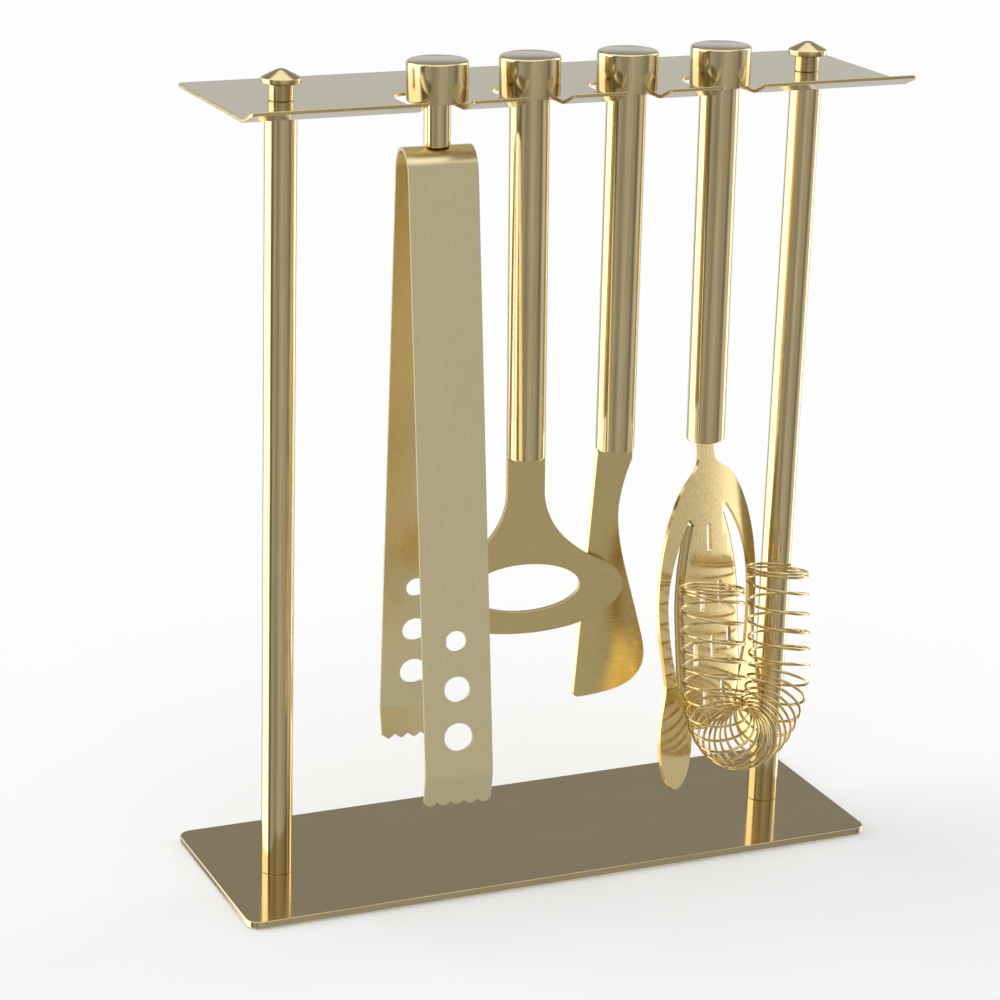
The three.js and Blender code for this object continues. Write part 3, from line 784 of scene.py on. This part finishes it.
def opener():
    knob("opener")
    handle("opener")
    half = outline((SHAFT_RADIUS, SHAFT_END - 0.05), [
        (SHAFT_RADIUS, -137),
        (SHAFT_RADIUS, -148, 14, -158, 27.5, -164.2),
        (32.5, -166.6, 35.3, -170, 35.3, -174),
        (35.3, -182.5, 20, -189.2, 0, -189.2),
    ], 20)
    ring = mirrored(half)
    mesh = thicken(sheet_mesh(ring, [ellipse(0, -172.4, 19.6, 8.7, 96)]), OPENER_THICKNESS)
    stand_up(mesh, -OPENER_THICKNESS / 2)
    piece = new_piece("opener_plate", "opener_handle", mesh, HANG["opener"], BLADE_SATIN,
                      ["opener_blade"])
    soften(piece, 0.35, 3)


def knife():
    knob("knife")
    handle("knife")
    ring = outline((6.5, SHAFT_END - 0.05), [
        (6.5, -129),
        (4, -135, 1.6, -143, 1.9, -150),
        (2.2, -158, 4.6, -167, 6.9, -174.5),
        (11.9, -191.6),
        (14.6, -201, 16.2, -206.5, 9.8, -211.6),
        (6, -214.3, -3, -215.4, -11.2, -215.6),
        (-12.6, -215.6, -13.2, -214.8, -13.1, -213.4),
        (-6.7, SHAFT_END - 0.05),
    ], 16)
    cuts = [(1, z) for z in range(-212, -130, 6)] + [(0, x) for x in range(-12, 15, 3)]
    mesh = thicken(sheet_mesh(ring, (), cuts), KNIFE_THICKNESS)
    stand_up(mesh, -KNIFE_THICKNESS / 2)
    for vert in mesh.verts:
        below = max(0, min(1, (KNIFE_CURL_TOP - vert.co.z) / KNIFE_CURL_REACH))
        easing = below * below * (3 - 2 * below)
        vert.co.y += easing * KNIFE_CURL * ((vert.co.x - KNIFE_CURL_MIDDLE) / KNIFE_CURL_HALF) ** 2
    piece = new_piece("knife_plate", "knife_handle", mesh, HANG["knife"], KNIFE_SATIN,
                      ["knife_blade"])
    soften(piece, 0.3, 3)


# ---------------------------------------------------------------- strainer


SPRING_LEFT_LENGTH = SPRING_LEFT_TOP - SPRING_BEND
SPRING_ARC_LENGTH = math.pi * SPRING_LEG
SPRING_LENGTH = SPRING_LEFT_LENGTH + SPRING_ARC_LENGTH + SPRING_RIGHT_TOP - SPRING_BEND


def spring_spine(distance):
    """Middle line of the spring's turns: down one leg, round the lower end and up the other leg."""
    past = distance - SPRING_LEFT_LENGTH
    if past <= 0:
        return -SPRING_LEG, SPRING_LEFT_TOP - distance, 0
    if past <= SPRING_ARC_LENGTH:
        angle = past / SPRING_LEG
        return -SPRING_LEG * math.cos(angle), SPRING_BEND - SPRING_LEG * math.sin(angle), angle
    return SPRING_LEG, SPRING_BEND + past - SPRING_ARC_LENGTH, math.pi


def spring_distance(turn):
    """How far along the spine the wire is after a number of turns."""
    closed = CLOSED_TURNS * CLOSED_PITCH
    if turn < CLOSED_TURNS:
        return turn * CLOSED_PITCH
    beyond = turn - CLOSED_TURNS - OPEN_TURNS
    if beyond > 0:
        return SPRING_LENGTH - closed + beyond * CLOSED_PITCH
    u = 1 + 2 * beyond / OPEN_TURNS
    share = (1 + (u + CROWDING * u ** 3) / (1 + CROWDING)) / 2
    return closed + (SPRING_LENGTH - 2 * closed) * share


def spring_point(turn):
    x, z, angle = spring_spine(spring_distance(turn))
    phase = turn * 2 * math.pi
    sideways = SPRING_COIL * math.cos(phase)
    slanted = angle - SPRING_SLANT
    return Vector((
        x - sideways * math.cos(slanted),
        SPRING_DEPTH - SPRING_COIL * math.sin(phase),
        z - sideways * math.sin(slanted),
    ))


def tube(points, radius, sides=10):
    """A closed round wire along points, with flat ends."""
    mesh = bmesh.new()
    rings = []
    side_way = None
    for i, point in enumerate(points):
        heading = (points[min(i + 1, len(points) - 1)] - points[max(i - 1, 0)]).normalized()
        if side_way is None:
            side_way = heading.orthogonal().normalized()
        side_way = (side_way - heading * side_way.dot(heading)).normalized()
        other = heading.cross(side_way)
        rings.append([
            mesh.verts.new(point + radius * (math.cos(a) * side_way + math.sin(a) * other))
            for a in (2 * math.pi * k / sides for k in range(sides))
        ])
    for low, high in zip(rings, rings[1:]):
        for k in range(sides):
            j = (k + 1) % sides
            mesh.faces.new((low[k], low[j], high[j], high[k]))
    mesh.faces.new(rings[0])
    mesh.faces.new(rings[-1])
    return mesh


BENT_FORWARD = (
    Matrix.Translation((0, 0, TILT_HEIGHT))
    @ Matrix.Rotation(math.radians(STRAINER_TILT), 4, "X")
    @ Matrix.Translation((0, 0, -TILT_HEIGHT))
)
STRAINER_ROWS = (
    (-161, 11, (0,)),
    (-182.5, 9.5, (-6, 6)),
    (-201.5, 9.5, (-11.5, 0, 11.5)),
    (-219.5, 8.5, (-6, 6)),
)
STRAINER_SLOT_WIDTH = 3.2


def frame_half():
    return outline((4.8, SHAFT_END - 0.05), [
        (4.8, -130),
        (5.2, -136, 12, -136, 17.5, -141),
        (27, -150.5, 33.4, -165, 33.4, -181),
        (33.4, -192, 30.6, -200, 30.6, -208),
        (30.8, -213, 35, -218, 35.5, -228),
        (35.8, -239, 31, -247, 26, -247),
        (20, -247, 15.8, -238, 15.8, -228),
        (15.8, -220, 20, -216, 23.2, -209),
        (25.5, -203, 27.8, -192, 27.8, -181),
        (27.8, -170, 20, -158, 12.5, -151),
    ])


def dish_half(inset):
    half = DISH_HALF - inset
    return outline((0.5, -140 - inset), [
        (6, -145, half, -166, half, -186),
        (half, -212),
        (half, -224, half * 0.6, -232 + inset, 0.5, -232 + inset),
    ])


def outer_loop(mesh):
    """The open edge that runs round the outside of a flat sheet, as vertices in order."""
    start = min((v for v in mesh.verts if v.is_boundary), key=lambda v: v.co.y)
    loop = [start]
    edge = next(e for e in start.link_edges if e.is_boundary)
    while True:
        vert = edge.other_vert(loop[-1])
        if vert == start:
            return loop
        loop.append(vert)
        edge = next(e for e in vert.link_edges if e.is_boundary and e != edge)


def strainer_sheet():
    """The pressed strainer plate at depth 0: a frame and a perforated dish whose free edge rolls back."""
    inset = [point for point in dish_half(DISH_ROLL) if point[1] < DISH_FREE_TOP]
    holes = [slot_ring(x, z, length, STRAINER_SLOT_WIDTH) for z, length, xs in STRAINER_ROWS for x in xs]
    cuts = [(0, x) for x in range(-33, 34, 3)] + [(1, z) for z in range(-240, -128, 7)]
    mesh = sheet_mesh(mirrored(frame_half() + inset), holes, cuts)
    loop = outer_loop(mesh)
    outline = mirrored(dish_half(DISH_ROLL))
    free = [vert.co.y < DISH_FREE_TOP and dish_gap(vert.co, outline) < ON_OUTLINE for vert in loop]
    first = next(i for i, here in enumerate(free) if here and not free[i - 1])
    edge = (loop[first:] + loop[:first])[:sum(free)]
    flat = [v.co.copy() for v in edge]
    last = len(flat) - 1
    outward = []
    for i in range(last + 1):
        along = flat[min(i + 1, last)] - flat[max(i - 1, 0)]
        way = Vector((along.y, -along.x, 0)).normalized()
        outward.append(-way if way.dot(flat[i] - DISH_MIDDLE) < 0 else way)
    for step in range(1, ROLL_STEPS + 1):
        angle = math.pi / 2 * step / ROLL_STEPS
        reach, depth = DISH_ROLL * math.sin(angle), DISH_ROLL * (1 - math.cos(angle))
        ring = [mesh.verts.new(at + reach * way + Vector((0, 0, depth))) for at, way in zip(flat, outward)]
        for i in range(last):
            mesh.faces.new((edge[i], edge[i + 1], ring[i + 1], ring[i]))
        edge = ring
    for vert in mesh.verts:
        vert.co.z += STRAINER_HOLLOW * (vert.co.x / FRAME_HALF) ** 2
    return mesh


def dish_gap(point, outline):
    """How far a point lies from a closed outline."""
    best = math.inf
    for start, end in zip(outline, outline[1:] + outline[:1]):
        start, end = Vector((*start, 0)), Vector((*end, 0))
        along = end - start
        flat_point = Vector((point.x, point.y, 0))
        share = max(0, min(1, (flat_point - start).dot(along) / along.length_squared))
        best = min(best, (flat_point - start - along * share).length)
    return best


def strainer():
    knob("strainer")
    handle("strainer")
    place = HANG["strainer"] @ BENT_FORWARD
    front = STRAINER_OFFSET - STRAINER_THICKNESS / 2
    sheet = stand_up(strainer_sheet(), front)
    piece = new_piece("strainer_pressing", "strainer_handle", sheet, place, PRESSED,
                      ["strainer_plate"], 50)
    if sum(face.normal.y * face.area for face in piece.data.polygons) > 0:
        piece.data.flip_normals()
    shell = piece.modifiers.new("sheet", "SOLIDIFY")
    shell.thickness = DISH_WALL * MM
    shell.offset = -1
    soften(piece, 0.18)
    turns = 2 * CLOSED_TURNS + OPEN_TURNS
    steps = turns * 40
    wire = tube([spring_point(turns * i / steps) for i in range(steps + 1)], SPRING_WIRE, 12)
    new_piece("coil_spring", "strainer_spring", wire, place, WIRE, ["strainer_spring"])


def hidden_steel():
    for name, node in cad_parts.items():
        if node.hide_render:
            continue
        node.data.materials.clear()
        node.data.materials.append(STEEL)


make_camera()
make_floor()
make_lights()
base_plate()
for side, name in ((-1, "left"), (1, "right")):
    post(side, name)
    finial(side, name)
top_plate()
tongs()
opener()
knife()
strainer()
hidden_steel()
